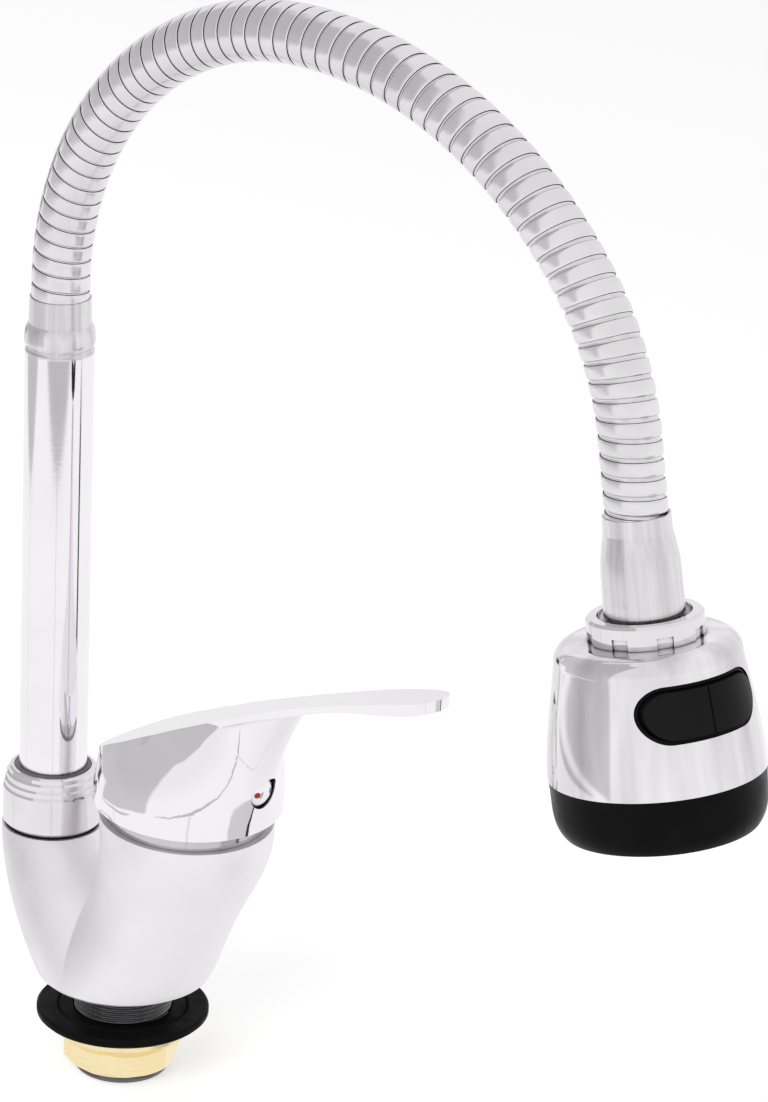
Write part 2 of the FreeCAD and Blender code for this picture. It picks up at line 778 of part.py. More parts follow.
def dot_rod(side, radius):
    face_x = lever_x + skirt_r - plug_seat_sink() + seat_gap
    depth = 1.2
    return rod(V(face_x + plug_dome_h - depth, side * dot_y, plug_z), V(face_x + 2 * plug_dome_h, side * dot_y, plug_z),
               radius)


def index_dot(side):
    face_x = lever_x + skirt_r - plug_seat_sink() + seat_gap
    dome_r = plug_dome_radius()
    ball = Part.makeSphere(dome_r + 0.05, V(face_x + plug_dome_h - dome_r, 0, plug_z))
    return tilted(dot_rod(side, dot_r).common(ball))


# Spout

def spout_collar():
    low = rear_tower_z + collar_seal_h + seat_gap
    thread_r = tower_neck_r + seat_gap
    flange_z = rear_tower_z + tower_neck_h + bush_flange_t + 2 * seat_gap
    ring_seat = collar_top_z - collar_ring_h
    step = collar_r - collar_step_in
    return lathe([(thread_r, low), (collar_r - 0.6, low), (collar_r, low + 0.9),
                  (collar_r, collar_top_z - 3 * collar_step_h), (step + 0.35, collar_top_z - 3 * collar_step_h + 0.7),
                  (step + 0.35, collar_top_z - 2 * collar_step_h), (step - 0.2, collar_top_z - 2 * collar_step_h + 0.6),
                  (step - 0.2, collar_top_z - collar_step_h), (step - 0.9, collar_top_z - collar_step_h + 0.6),
                  (step - 1.1, collar_top_z - 0.5), (step - 1.7, collar_top_z),
                  (collar_o_ring_r + seat_gap, collar_top_z), (collar_o_ring_r + seat_gap, ring_seat),
                  (riser_r + 2 * running_gap, ring_seat), (riser_r + 2 * running_gap, flange_z),
                  (thread_r, flange_z)], spout_x)


def collar_seal():
    return tube(collar_r - 0.7, tower_neck_r + seat_gap, rear_tower_z, rear_tower_z + collar_seal_h, spout_x)


def collar_o_ring():
    low = collar_top_z - collar_ring_h + seat_gap
    inner, outer, high = riser_r + running_gap, collar_o_ring_r, collar_top_z + 0.4
    return lathe([(inner, low), (outer, low), (outer, high - 0.6), (outer - 0.5, high), (inner, high)], spout_x)


def spout_bush():
    low = foot_low + foot_h + loose_gap
    neck_top = rear_tower_z + tower_neck_h
    inner, outer = riser_r + running_gap, spout_bore_r - seat_gap
    return lathe([(inner, low), (outer, low), (outer, neck_top + seat_gap), (tower_neck_r, neck_top + seat_gap),
                  (tower_neck_r, neck_top + seat_gap + bush_flange_t), (inner, neck_top + seat_gap + bush_flange_t)],
                 spout_x)


def riser_tube():
    return tube(riser_r, riser_r - riser_wall, foot_low + foot_h, riser_top_z, spout_x)


def riser_foot():
    outer, top = spout_bore_r - running_gap - 0.02, foot_low + foot_h
    inner_r = riser_r - riser_wall - 0.02
    foot = lathe([(foot_bore_r, foot_low), (outer - 0.8, foot_low), (outer, foot_low + 0.8),
                  (outer, top), (inner_r, top), (inner_r, top + foot_spigot_h), (foot_bore_r, top + foot_spigot_h)],
                 spout_x)
    for rise in foot_ring_rise:
        middle = foot_low + rise
        foot = foot.cut(tube(spout_bore_r, foot_groove_r, middle - foot_groove_h / 2, middle + foot_groove_h / 2,
                             spout_x))
    return foot


def riser_o_rings():
    wire = (spout_bore_r - 0.02 - foot_groove_r) / 2
    return Part.makeCompound([torus(foot_groove_r + wire, wire - 0.01, foot_low + rise, spout_x)
                              for rise in foot_ring_rise])


def lower_ferrule():
    mouth, foot = hose_start_z, riser_top_z
    spigot_r = riser_r - riser_wall - 0.02
    cuff_z = mouth - hose_cuff - loose_gap
    sleeve_r = winding_neck_r + 0.1
    bore_r = hose_bore_r
    neck_z = mouth - 8.5
    outer = [line((spout_x + riser_r, foot), (spout_x + riser_r, foot + 0.6)),
             spline([(spout_x + riser_r, foot + 0.6), (spout_x + ferrule_groove_r, foot + 1.6),
                     (spout_x + riser_r, foot + 2.8), (spout_x + ferrule_bulge_r, foot + 5.0),
                     (spout_x + ferrule_bulge_r * 0.96, foot + 8.0), (spout_x + ferrule_mouth_r, neck_z)]),
             line((spout_x + ferrule_mouth_r, neck_z), (spout_x + ferrule_mouth_r - 0.2, mouth))]
    inside = [(ferrule_mouth_r - 0.2, mouth), (sleeve_r, mouth), (sleeve_r, cuff_z), (bore_r, cuff_z),
              (bore_r, foot - ferrule_spigot_h), (spigot_r, foot - ferrule_spigot_h), (spigot_r, foot),
              (riser_r, foot)]
    shifted = [(spout_x + r, z) for r, z in inside]
    return turned(outer + [line(a, b) for a, b in zip(shifted, shifted[1:])], spout_x)


# Gooseneck

def winding_edges(turn):
    """Lengths where a turn's raised band starts and ends."""
    groove = PITCH * (1 - winding_share)
    return turn * PITCH + groove / 2, (turn + 1) * PITCH - groove / 2


def flex_ball(section, radius):
    """Ball about the hinge at the start of a section."""
    x, z, heading = hose_at(flex_centre(section))
    return Part.makeSphere(radius, V(x, 0, z))


def hose_tail(section):
    """Rounded end of a section that turns inside the next section's first turn."""
    hinge = flex_centre(section + 1)
    last_end = winding_edges((section + 1) * turns_per_section - 1)[1]
    entry = hinge - PITCH * winding_share / 2
    neck = hose_tube(tail_neck_r, hose_bore_r, last_end, entry)
    zone = hose_tube(winding_neck_r, hose_bore_r, entry, hinge + tail_reach)
    return neck.fuse(zone.common(flex_ball(section + 1, socket_r - 2 * running_gap)))


def hose_section(section):
    """Nine turns of the strip: raised bands on a thinner neck, with a bore for the inner hose."""
    first, last = section * turns_per_section, (section + 1) * turns_per_section - 1
    pieces = []
    if section == 0:
        pieces.append(hose_tube(winding_neck_r, hose_bore_r, -hose_cuff, winding_edges(first)[0]))
    for turn in range(first, last + 1):
        start, end = winding_edges(turn)
        pieces.append(hose_tube(winding_r, hose_bore_r, start, end))
        if turn < last:
            pieces.append(hose_tube(winding_neck_r, hose_bore_r, end, winding_edges(turn + 1)[0]))
    if section == hose_sections - 1:
        pieces.append(hose_tube(winding_neck_r, hose_bore_r, winding_edges(last)[1], HOSE_LENGTH + hose_cuff))
    strip = fuse(pieces)
    if section > 0:
        strip = strip.cut(flex_ball(section, socket_r))
    if section < hose_sections - 1:
        strip = strip.fuse(hose_tail(section)).removeSplitter()
    return strip


def inner_hose(section):
    low = flex_centre(section) + inner_hose_gap / 2 if section else -hose_cuff
    last = section == hose_sections - 1
    high = HOSE_LENGTH + hose_cuff if last else flex_centre(section + 1) - inner_hose_gap / 2
    return hose_tube(inner_hose_r, inner_hose_bore_r, low, high)


# Spray head, all in its own frame

def upper_ferrule():
    mouth = ball_to_mouth
    foot = mouth - upper_ferrule_l
    sleeve_r = winding_neck_r + 0.1
    cuff_z = mouth - hose_cuff - loose_gap
    floor = mouth - ferrule_floor
    outer = [line((ferrule_mouth_r, mouth), (ferrule_mouth_r + 0.1, mouth - 5)),
             spline([(ferrule_mouth_r + 0.1, mouth - 5), (10.7, mouth - 9), (11.35, mouth - 13),
                     (11.65, mouth - 18), (upper_ferrule_r, mouth - 25)]),
             line((upper_ferrule_r, mouth - 25), (upper_ferrule_r, foot + 0.6)),
             line((upper_ferrule_r, foot + 0.6), (upper_ferrule_r - 0.6, foot))]
    inside = [(upper_ferrule_r - 0.6, foot), (ball_spigot_r + seat_gap, foot), (ball_spigot_r + seat_gap, floor),
              (hose_bore_r, floor), (hose_bore_r, cuff_z), (sleeve_r, cuff_z), (sleeve_r, mouth),
              (ferrule_mouth_r, mouth)]
    return on_head(turned(outer + [line(a, b) for a, b in zip(inside, inside[1:])]))


def swivel_ball():
    foot = ball_to_mouth - upper_ferrule_l
    spigot_top = ball_to_mouth - ferrule_floor - 0.5
    ball = Part.makeSphere(ball_r)
    neck = cylinder(ball_neck_r, 0, foot - seat_gap)
    spigot = cylinder(ball_spigot_r, 0, spigot_top)
    bore = cylinder(ball_bore_r, -ball_r, spigot_top + 1)
    foot_cut = cylinder(ball_r, -ball_r - 1, ball_foot_z)
    return on_head(ball.fuse([neck, spigot]).cut(bore).cut(foot_cut).removeSplitter())


def ball_seat():
    """Two halves of a plastic ring with a ball socket, an upper and a lower."""
    ring_part = cylinder(seat_r, seat_bottom_z, seat_top_z).cut(Part.makeSphere(ball_r + running_gap))
    lower = ring_part.common(cylinder(seat_r + 1, seat_bottom_z, 0)).cut(cylinder(ball_r * 0.7, seat_bottom_z - 1, 0))
    upper = ring_part.common(cylinder(seat_r + 1, 0, seat_top_z))
    return Part.makeCompound([on_head(lower), on_head(upper)])


def ring_nut():
    bore_r = seat_r + running_gap
    low, lip_low = ring_nut_spigot_z, seat_top_z + running_gap
    nut = lathe([(bore_r, low), (ring_nut_spigot_r, low), (ring_nut_spigot_r, shoulder_z + seat_gap),
                 (ring_nut_r, shoulder_z + seat_gap), (ring_nut_r, ring_nut_top_z - 0.8),
                 (ring_nut_r - 0.8, ring_nut_top_z), (ring_nut_bore_r, ring_nut_top_z),
                 (ring_nut_bore_r, ring_nut_lip_top_z), (ring_nut_lip_r, ring_nut_lip_top_z),
                 (ring_nut_lip_r, lip_low), (bore_r, lip_low)])
    notch = block(ring_nut_r - ring_nut_notch_in, ring_nut_r + 1, ring_nut_notch_w / 2,
                  shoulder_z, shoulder_z + ring_nut_notch_h)
    return on_head(nut.cut(fuse(circle_of(notch, ring_nut_notches, 12.0))))


def shell_outline(offset=0.0):
    """Outside of the bell as edges, from the shoulder's inner edge to the hem, moved in by offset."""
    knee = shoulder_arc_r - offset
    centre = (shoulder_r, shoulder_z - shoulder_arc_r)
    start, end = (shoulder_r, centre[1] + knee), (shoulder_r + knee, centre[1])
    middle = (centre[0] + knee * math.sin(math.radians(45)), centre[1] + knee * math.cos(math.radians(45)))
    side = [end] + [(r - offset, z) for r, z in shell_waist] + [(shell_hem_r - offset, shell_hem_z)]
    return [arc(start, middle, end), spline(side)], start, side[-1]


def bell(offset=0.0):
    """Solid inside the bell's outline."""
    edges, start, end = shell_outline(offset)
    return turned(edges + [line((0, start[1]), start), line(end, (0, end[1])), line((0, end[1]), (0, start[1]))])


def pill(half_l, half_h, x_low, x_high, z=selector_z):
    """Flat-sided bar with round ends, along X."""
    straight = half_l - half_h
    bar = block(x_low, x_high, straight, z - half_h, z + half_h)
    ends = [rod(V(x_low, side * straight, z), V(x_high, side * straight, z), half_h) for side in (-1, 1)]
    return fuse([bar] + ends)


def head_shell():
    shell = bell().cut(bell(shell_wall)).cut(cylinder(ring_nut_spigot_r + seat_gap, -1, shoulder_z + 1))
    window = pill(window_half_l, window_half_h, rocker_x - 6, shell_hem_r + 2)
    return at_selector(shell.cut(window))


def head_core():
    top = shoulder_z - shell_wall - seat_gap
    bottom = shell_hem_z + seat_gap
    flange_top = bottom + core_flange_t
    nut_socket_r = ring_nut_spigot_r + seat_gap
    seat_socket_r = seat_r + running_gap
    core = lathe([(water_bore_r, bottom), (core_flange_r, bottom), (core_flange_r, flange_top),
                  (core_r, flange_top), (core_r, top), (nut_socket_r, top),
                  (nut_socket_r, ring_nut_spigot_z - seat_gap), (seat_socket_r, ring_nut_spigot_z - seat_gap),
                  (seat_socket_r, seat_bottom_z - running_gap), (water_bore_r, seat_bottom_z - running_gap)])
    core = core.fuse(cylinder(water_bore_r + 1, bottom, selector_z - spool_r - 4))
    core = core.cut(cylinder(outlet_bore_r, bottom - 1, selector_z))
    core = core.cut(cylinder(water_bore_r, selector_z, seat_bottom_z))
    flat = block(core_flat_x, shell_hem_r, shell_hem_r, selector_z - window_half_h - 2, selector_z + window_half_h + 1)
    bore = rod(V(spool_x, -shell_hem_r, selector_z), V(spool_x, shell_hem_r, selector_z), spool_r + running_gap)
    peg_way = block(spool_x, shell_hem_r, peg_r + 2.4, selector_z - peg_r - 0.6, selector_z + peg_r + 0.6)
    ports = circle_of(cylinder(side_port_r, bottom - 1, selector_z - window_half_h - 4, side_port_circle_r),
                      side_ports, 45.0)
    return at_selector(core.cut(fuse([flat, bore, peg_way])).cut(fuse(ports)).removeSplitter())


def selector_bezel():
    outside = pill(window_half_l - seat_gap, window_half_h - seat_gap, bezel_back_x, shell_hem_r + 2)
    outside = outside.common(bell(bezel_sink))
    inside_l, inside_h = window_half_l - bezel_wall, window_half_h - bezel_wall
    tray = outside.cut(pill(inside_l, inside_h, bezel_back_x + bezel_back_t, shell_hem_r + 2))
    peg_slot = block(bezel_back_x - 1, bezel_back_x + bezel_back_t + 1, peg_r + 1.2,
                     selector_z - peg_r - 0.5, selector_z + peg_r + 0.5)
    pins = cylinder(trunnion_r + running_gap, selector_z - inside_h - trunnion_reach - 0.1,
                    selector_z + inside_h + trunnion_reach + 0.1, rocker_x)
    return at_selector(tray.cut(peg_slot).cut(pins).removeSplitter())


def selector_rocker():
    half_l, half_h = window_half_l - bezel_wall - 1.5 * rocker_gap, window_half_h - bezel_wall - rocker_gap
    crown = turned_offset_bell(rocker_proud)
    face = pill(half_l, half_h, rocker_back_x, shell_hem_r + 3).common(crown)
    divider = block(rocker_x, shell_hem_r + 3, 0.3, selector_z - half_h, selector_z + half_h)
    face = face.cut(divider.cut(turned_offset_bell(rocker_proud - 0.35)))
    trunnions = cylinder(trunnion_r, selector_z - window_half_h + bezel_wall - trunnion_reach,
                         selector_z + window_half_h - bezel_wall + trunnion_reach, rocker_x)
    peg = rod(V(peg_tip_x, 0, selector_z), V(rocker_x, 0, selector_z), peg_r)
    return at_selector(fuse([face, trunnions, peg]))


def turned_offset_bell(proud):
    """The bell's outline moved outwards, for the rocker's face."""
    return bell(-proud)


def diverter_spool():
    spool = rod(V(spool_x, -spool_half, selector_z), V(spool_x, spool_half, selector_z), spool_r)
    window = rod(V(spool_x - spool_r - 1, 0, selector_z), V(spool_x + spool_r + 1, 0, selector_z), spool_window_r)
    return at_selector(spool.cut(window))


def face_ring():
    top = shell_hem_z - seat_gap
    side = [(shell_hem_r - 0.1, top)] + list(face_ring_knee) + [(face_ring_foot_r, face_ring_z)]
    inner_r = core_flange_r - face_ring_wall
    plate_seat = face_ring_z + plate_recess + plate_t + seat_gap
    plate_r = face_ring_foot_r - 1.6
    ledge_r = plate_r - face_ring_ledge
    inside = [side[-1], (plate_r, face_ring_z), (plate_r, plate_seat), (ledge_r, plate_seat),
              (ledge_r, plate_seat + face_ring_ledge), (inner_r, plate_seat + 2 * face_ring_ledge), (inner_r, top),
              side[0]]
    return on_head(turned([spline(side)] + [line(a, b) for a, b in zip(inside, inside[1:])]))


def plate_radius():
    return face_ring_foot_r - 1.6 - seat_gap


def nozzle_places():
    places = []
    for row, (row_r, count) in enumerate(nozzle_rows):
        for index in range(count):
            angle = 2 * math.pi * (index + 0.5 * (row % 2)) / count
            places.append((row_r * math.cos(angle), row_r * math.sin(angle)))
    return places


def spray_plate():
    low = face_ring_z + plate_recess
    high = low + plate_t
    plate = tube(plate_radius(), aerator_r + seat_gap, low, high)
    holes = [cylinder(nozzle_r + nozzle_hole_gap, low - 1, high + 1, x, y) for x, y in nozzle_places()]
    return on_head(plate.cut(Part.makeCompound(holes)))


def nozzle_mat():
    low = face_ring_z + plate_recess + plate_t + seat_gap
    tip = plate_t + nozzle_rise + seat_gap
    mat = tube(nozzle_rows[-1][0] + 2.5, aerator_r + seat_gap, low, low + mat_t)
    cones = [Part.makeCone(nozzle_tip_r, nozzle_r, tip, V(x, y, low - tip), Z_AXIS) for x, y in nozzle_places()]
    return on_head(mat.multiFuse(cones))


def aerator_housing():
    top = shell_hem_z - 2 * seat_gap
    low = face_ring_z + plate_recess - 0.8
    inner = aerator_r - aerator_wall
    return on_head(lathe([(inner - aerator_lip, low), (aerator_r, low), (aerator_r, top),
                          (outlet_bore_r, top), (outlet_bore_r, top - 2), (inner, top - 3),
                          (inner, low + 1.0), (inner - aerator_lip, low + 1.0)]))


def aerator_mesh():
    low = face_ring_z + plate_recess + 0.2 + seat_gap
    return on_head(cylinder(aerator_r - aerator_wall - seat_gap, low, low + mesh_t))


NODES = {
    "mixer_body": mixer_body, "base_seal": base_seal, "threaded_shank": threaded_shank,
    "deck_gasket": deck_gasket, "fixing_nut": fixing_nut,
    "cartridge_base": cartridge_base, "cartridge_seals": cartridge_seals, "cartridge_housing": cartridge_housing,
    "fixed_disc": fixed_disc, "moving_disc": moving_disc, "disc_holder": disc_holder, "cartridge_rotor": rotor,
    "pivot_pin": pivot_pin, "cartridge_stem": cartridge_stem, "cartridge_nut": cartridge_nut,
    "cover_dome": cover_dome, "lever_handle": handle, "set_screw": set_screw, "index_plug": index_plug,
    "red_dot": lambda: index_dot(-1), "blue_dot": lambda: index_dot(1),
    "spout_collar": spout_collar, "collar_seal": collar_seal, "collar_o_ring": collar_o_ring,
    "spout_bush": spout_bush, "riser_tube": riser_tube, "riser_foot": riser_foot, "riser_o_rings": riser_o_rings,
    "lower_ferrule": lower_ferrule, "upper_ferrule": upper_ferrule, "swivel_ball": swivel_ball,
    "ball_seat": ball_seat, "ring_nut": ring_nut, "head_shell": head_shell, "head_core": head_core,
    "selector_bezel": selector_bezel, "selector_rocker": selector_rocker, "diverter_spool": diverter_spool,
    "face_ring": face_ring, "spray_plate": spray_plate, "nozzle_mat": nozzle_mat,
    "aerator_housing": aerator_housing, "aerator_mesh": aerator_mesh,
}
for number in range(hose_sections):
    NODES["hose_section_%d" % (number + 1)] = lambda section=number: hose_section(section)
    NODES["inner_hose_%d" % (number + 1)] = lambda section=number: inner_hose(section)

for name, make in NODES.items():
    make().exportStep("parts/%s.step" % name)
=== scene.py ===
import json
import math

import bpy
from mathutils import Matrix, Vector


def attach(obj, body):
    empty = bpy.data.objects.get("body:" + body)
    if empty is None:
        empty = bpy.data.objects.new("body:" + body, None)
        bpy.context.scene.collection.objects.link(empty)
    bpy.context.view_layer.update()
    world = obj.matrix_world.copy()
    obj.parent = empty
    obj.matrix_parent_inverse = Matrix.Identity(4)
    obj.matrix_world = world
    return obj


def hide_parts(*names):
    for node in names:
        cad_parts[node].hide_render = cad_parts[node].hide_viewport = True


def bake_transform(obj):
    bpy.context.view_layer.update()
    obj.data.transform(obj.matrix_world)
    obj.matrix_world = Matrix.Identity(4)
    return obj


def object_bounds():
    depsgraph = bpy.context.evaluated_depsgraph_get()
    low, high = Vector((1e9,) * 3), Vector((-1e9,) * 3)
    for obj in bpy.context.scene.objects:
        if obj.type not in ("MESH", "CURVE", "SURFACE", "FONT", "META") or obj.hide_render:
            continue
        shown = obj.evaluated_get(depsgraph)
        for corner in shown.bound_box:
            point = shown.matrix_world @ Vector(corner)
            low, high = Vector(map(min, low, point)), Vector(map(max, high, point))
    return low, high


# Flexible kitchen tap: looks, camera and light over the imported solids. Sizes here are in millimetres and turn
# into metres through MM where points are made.

MM = 0.001

# Camera, from matching the photograph
CAMERA_AZIMUTH = 39.94          # degrees round from the -Y side towards +X
CAMERA_ELEVATION = 21.4
CAMERA_ROLL = 2.48
CAMERA_DISTANCE = 1535.39
CAMERA_RIGHT = 84.5
CAMERA_UP = 135.82
CAMERA_LENS = 154.58
CAMERA_CLIP = (0.05, 20)        # metres
SENSOR = 36.0

# Lamps, in metres and watts
LAMP_SIZE = 0.9
LAMP_TARGET = (0.05, 0, 0.15)
KEY_PLACE = (0.5, -1.1, 1.3)
KEY_POWER = 16.0
FILL_PLACE = (-1.2, -0.5, 0.9)
FILL_POWER = 7.0

# Floor
FLOOR_GAP = 0.2
FLOOR_R = 1600.0
FLOOR_CORNERS = 64
FLOOR_TONE = 0.45
FLOOR_LIFT = 0.64               # light of its own that the camera sees on the floor

# Studio, as metal mirrors it: turn in degrees from +X, rise as the sine of the elevation
GENERAL_LIGHT = 0.55            # strength of the surroundings on what isn't a mirror image
PANELS = (                      # turn: from, to, softness; rise: from, to, softness; how dark
    ((190.0, 260.0, 2.0), (-0.28, 0.93, 0.01), 0.36),       # wide, left of the tap
    ((164.0, 194.0, 2.0), (-0.08, 0.76, 0.02), 0.36),       # its far end
    ((161.0, 174.0, 2.0), (-0.25, -0.10, 0.02), 0.92),      # black edge below that end
    ((100.0, 157.0, 4.0), (-0.27, 0.12, 0.03), 0.10),       # far wall
    ((3.0, 30.0, 1.5), (-0.69, -0.415, 0.012), 0.32),       # low, right of the tap
    ((29.0, 34.0, 0.6), (-0.70, -0.335, 0.01), 0.96),       # black rod beside it
    ((5.0, 33.0, 2.0), (-0.44, -0.385, 0.004), 0.66),       # dark top of the low panel
)
TONGUES = ((212.0, 28.0, 0.42), (312.0, 40.0, 0.46))        # middle, half the width, how dark
TONGUE_SIDE = 0.05              # softness of a tongue's sides, in half widths
TONGUE_LOW = -0.352             # rise at the tip
TONGUE_FULL = -0.326            # rise where it has its whole width
TONGUE_TOP = (-0.325, -0.313)   # rise over which it fades out
FLOOR_GLOW = ((-0.95, -0.50), (0.86, 0.97))                 # rise, and brightness there
CEILING_GLOW = ((-0.10, 0.30), (1.0, 0.92))

# Gooseneck: the same centre line as the solids
SPOUT_X = -33.3
HOSE_START_Z = 222.0
LEAD_IN = 4.2
BENDS = ((99.6, 86.3), (133.0, 55.6), (91.8, 27.9))     # radius and degrees of each arc
LEAD_OUT = 21.4
OVERRUN = 40.0                  # straight stretch past each end
SECTIONS = 7
TURNS_PER_SECTION = 9

# Steel strip
STRIP_STEPS = 64                # points round one turn
STRIP_R = 9.25
STRIP_EDGE_R = 9.08             # at the rim of the groove
STRIP_CROWN = ((0.40, 0.06), (0.95, 0.012))             # distance from the groove, drop below STRIP_R
EDGE_LEAN = 0.03
EDGE_WIDTH = 0.14
EDGE_ROUNDING = 0.10
GROOVE_R = 8.62
GROOVE_CORNER = 0.06
GROOVE_START = 0.60             # groove width low on the riser's side
GROOVE_END = 1.35               # and close to the spray head
GROOVE_OPENS = (0.45, 0.85)     # shares of the length between which it widens
STRIP_UV = "strip"
STRIP_BAND, GROOVE_FLOOR, GROOVE_SHADOWED_WALL = 0, 1, 2         # places in the strip's list of materials; the walls' one is painted shadow

# Shank thread
THREAD_R = 16.0
THREAD_ROOT_R = 15.1
THREAD_PITCH = 1.5
THREAD_TOP = 9.0
THREAD_LOW = -33.3
THREAD_BORE_R = 13.2
THREAD_CREST = 1.25             # how far the ridge would rise, cut off flat at 1
THREAD_STEPS = 72               # points round one turn
THREAD_ROWS = 6                 # points along one pitch, and along each fading end

# Surfaces
HEAD_LEAN = 10.2                # degrees between the spray head's axis and the upright
STRIP_SCRATCHES = (6.0, 420.0, 1.0)                     # scale along one turn and across the strip
REFLECTION_STREAKS_FINE = 420.0            # scale across the painted reflection streaks, per metre
REFLECTION_STREAKS_BROAD = 100.0
REFLECTION_STREAKS_ALONG = 9.0
TURNING_LINES = 2600.0          # scale of the lines in turned brass, per metre
PATCHES = (0.3, 0.7)            # range of a noise from one tone to the other
STAINS = (0.35, 0.7)
WEAR = (0.3, 0.75)
SCRATCHES = (0.25, 0.75)
METAL_SKIN = 0.00004            # height of the finest marks, metres
BRASS_SKIN = 0.00005
PLASTIC_SKIN = 0.00006
# Painted shade: base colour darkened in seams and inner corners by an occlusion test
SEAM_SHADE_REACH = 0.0016            # metres
SEAM_SHADE_TONE = 0.10
SEAM_SHADE_FROM_TO = (0.40, 0.80)    # openness of a seam from full painted shade to none
CHROME_TINT = (0.935, 0.91, 0.94)
CHROME_SHADE = (0.905, 0.88, 0.91)
SATIN_TINT = (0.84, 0.82, 0.845)


# Camera and stage

def camera_axes():
    azimuth, elevation, roll = map(math.radians, (CAMERA_AZIMUTH, CAMERA_ELEVATION, CAMERA_ROLL))
    back = Vector((math.sin(azimuth) * math.cos(elevation), -math.cos(azimuth) * math.cos(elevation),
                   math.sin(elevation)))
    right = Vector((math.cos(azimuth), math.sin(azimuth), 0))
    up = back.cross(right)
    rolled_right = right * math.cos(roll) + up * math.sin(roll)
    rolled_up = up * math.cos(roll) - right * math.sin(roll)
    return rolled_right, rolled_up, back


def make_camera():
    right, up, back = camera_axes()
    data = bpy.data.cameras.new("camera")
    data.lens = CAMERA_LENS
    data.sensor_width = SENSOR
    data.clip_start, data.clip_end = CAMERA_CLIP
    camera = bpy.data.objects.new("camera", data)
    bpy.context.scene.collection.objects.link(camera)
    place = (back * CAMERA_DISTANCE + right * CAMERA_RIGHT + up * CAMERA_UP) * MM
    turn = Matrix((right, up, back)).transposed().to_4x4()
    camera.matrix_world = Matrix.Translation(place) @ turn
    bpy.context.scene.camera = camera


def add_lamp(name, place, power):
    """Round lamp that metal doesn't mirror."""
    data = bpy.data.lights.new(name, "AREA")
    data.shape = "DISK"
    data.size = LAMP_SIZE
    data.energy = power
    lamp = bpy.data.objects.new(name, data)
    bpy.context.scene.collection.objects.link(lamp)
    lamp.visible_glossy = False
    lamp.location = place
    lamp.rotation_euler = (Vector(LAMP_TARGET) - Vector(place)).to_track_quat("-Z", "Y").to_euler()


# Node helpers

class Nodes:
    """A material's or world's node tree, with short calls to add and join nodes."""

    def __init__(self, owner):
        owner.use_nodes = True
        self.tree = owner.node_tree
        self.tree.nodes.clear()

    def add(self, kind, inputs=None, **settings):
        node = self.tree.nodes.new(kind)
        for key, value in settings.items():
            setattr(node, key, value)
        for key, value in (inputs or {}).items():
            self.feed(node.inputs[key], value)
        return node

    def feed(self, socket, value):
        """Join a socket to another one, or set it to a number, a vector or a colour without alpha."""
        if isinstance(value, bpy.types.NodeSocket):
            self.tree.links.new(value, socket)
        elif socket.type == "RGBA":
            socket.default_value = (*value, 1.0)
        else:
            socket.default_value = value

    def math(self, operation, a, b=0.0):
        return self.add("ShaderNodeMath", {0: a, 1: b}, operation=operation).outputs[0]

    def times(self, a, b):
        return self.math("MULTIPLY", a, b)

    def noise(self, place, scale, detail):
        inputs = {"Vector": place, "Scale": scale, "Detail": detail}
        return self.add("ShaderNodeTexNoise", inputs).outputs["Fac"]

    def stretched(self, place, scale):
        return self.add("ShaderNodeMapping", {"Vector": place, "Scale": scale}).outputs["Vector"]

    def spread(self, value, low, high, out_low, out_high):
        """out_low at low, out_high at high, level outside them."""
        inputs = {"Value": value, "From Min": low, "From Max": high, "To Min": out_low, "To Max": out_high}
        return self.add("ShaderNodeMapRange", inputs, clamp=True).outputs["Result"]

    def share(self, value, low, high):
        return self.spread(value, low, high, 0.0, 1.0)

    def blend(self, share, first, second):
        node = self.add("ShaderNodeMix", data_type="RGBA")
        self.feed(node.inputs["Factor"], share)
        self.feed(node.inputs["A"], first)
        self.feed(node.inputs["B"], second)
        return node.outputs["Result"]

    def bump(self, height, strength, distance):
        inputs = {"Height": height, "Strength": strength, "Distance": distance}
        return self.add("ShaderNodeBump", inputs).outputs["Normal"]

    def seam_shaded(self, tint):
        """Tint darkened in seams and inner corners by an occlusion test: painted shade."""
        openness = self.add("ShaderNodeAmbientOcclusion", {"Distance": SEAM_SHADE_REACH}, samples=4).outputs["AO"]
        return self.blend(self.spread(openness, *SEAM_SHADE_FROM_TO, 1.0, 0.0), tint, grey(SEAM_SHADE_TONE))

    def place(self):
        return self.add("ShaderNodeTexCoord").outputs["Object"]

    def surface(self, shader):
        self.add("ShaderNodeOutputMaterial", {"Surface": shader.outputs[0]})

    def finish(self, tint, roughness, **others):
        """Surface from the Principled shader; others are its sockets, with _ for a space."""
        inputs = {"Base Color": tint, "Roughness": roughness}
        inputs.update({key.replace("_", " "): value for key, value in others.items()})
        self.surface(self.add("ShaderNodeBsdfPrincipled", inputs))


def grey(value):
    return (value, value, value)


# Materials

def new_material(name):
    material = bpy.data.materials.new(name)
    return material, Nodes(material)


def metal(name, colour, shade, roughness, grain=0.05, seam_shade=True):
    """Metal with faint stains, uneven polish, an almost flat skin, and painted shade in its seams and inner
    corners.
    """
    material, nodes = new_material(name)
    place = nodes.place()
    stains = nodes.share(nodes.noise(place, scale=38.0, detail=3.0), *STAINS)
    tint = nodes.blend(stains, colour, shade)
    # Painted shade in seams and inner corners
    if seam_shade:
        tint = nodes.seam_shaded(tint)
    wear = nodes.noise(place, scale=120.0, detail=4.0)
    polish = nodes.spread(wear, *WEAR, roughness * 0.85, roughness * 1.2)
    skin = nodes.bump(nodes.noise(place, scale=900.0, detail=2.0), grain, METAL_SKIN)
    nodes.finish(tint, polish, Metallic=1.0, Normal=skin)
    return material


